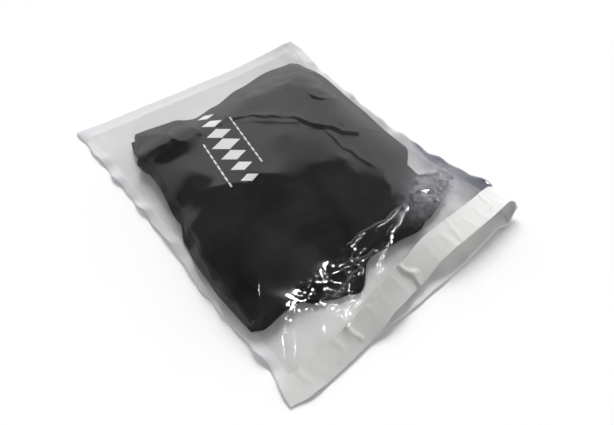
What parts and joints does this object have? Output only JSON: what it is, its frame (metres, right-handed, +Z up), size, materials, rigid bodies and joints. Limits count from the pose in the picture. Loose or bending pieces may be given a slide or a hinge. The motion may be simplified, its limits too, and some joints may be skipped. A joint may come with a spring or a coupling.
{
  "type": "poly mailer bag",
  "caption": "Flat film mailer bag with a clear front and a white back, its mouth open under a white liner strip, holding a folded dark T-shirt.",
  "frame": {"origin": "on the surface that the bag lies on, under the middle of the back film", "axes": "+X across the width, +Y along the length from the open mouth to the closed end, +Z up out of the clear front"},
  "size_m": [0.2541, 0.3051, 0.0267],
  "materials": {
    "white_film": "satin white polyethylene film",
    "clear_film": "clear glossy polyethylene film",
    "adhesive": "pale pressure-sensitive adhesive",
    "liner": "smooth white silicone-coated liner",
    "black_jersey": "black cotton jersey with a small white print"
  },
  "bodies": {
    "root": {"back_film": "white_film", "front_film": "clear_film", "adhesive_strip": "adhesive", "release_liner": "liner", "folded_shirt": "black_jersey"}
  },
  "joints": []
}
